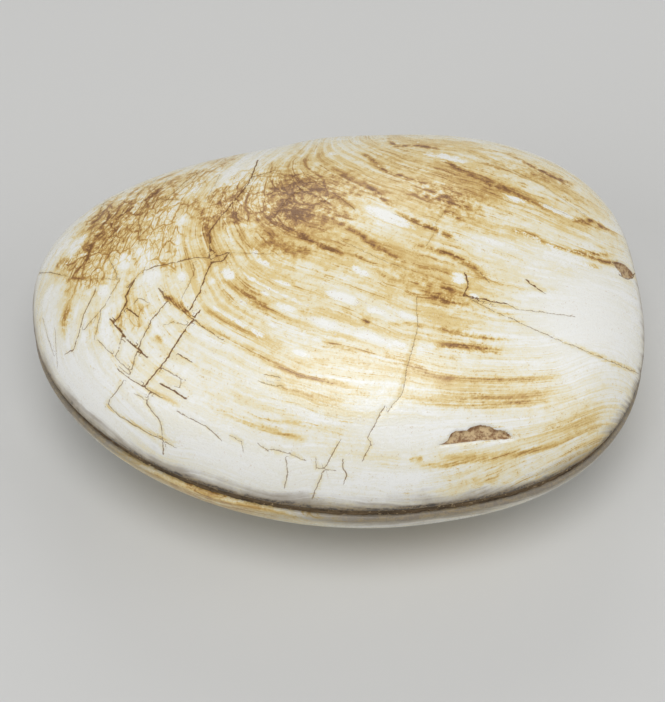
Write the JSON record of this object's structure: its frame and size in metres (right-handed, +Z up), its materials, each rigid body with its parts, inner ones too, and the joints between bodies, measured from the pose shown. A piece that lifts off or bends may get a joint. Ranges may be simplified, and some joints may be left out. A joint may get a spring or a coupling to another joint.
{
  "type": "fossil clam",
  "caption": "Polished fossil clam with closed stone valves, hardened sediment in the seam, beaks, a worn window and a chipped end, lying on the small flat spot of its right valve.",
  "frame": {"origin": "on the ground, under the middle of the shell's box", "axes": "+X from the front end to the rear end along the shell's length, +Y from the belly edge to the beaks, +Z up through both valves, with the seam level"},
  "size_m": [0.0918, 0.0657, 0.038],
  "materials": {
    "left_valve_stone": "polished ivory and tan banded calcite with brown veins, softly glossy",
    "right_valve_stone": "polished tan and ivory banded calcite, softly glossy",
    "hardened_sediment": "rough dark brown grey mudstone, unpolished"
  },
  "bodies": {
    "root": {"left_valve": "left_valve_stone", "right_valve": "right_valve_stone", "sediment_fill": "hardened_sediment"}
  },
  "joints": []
}
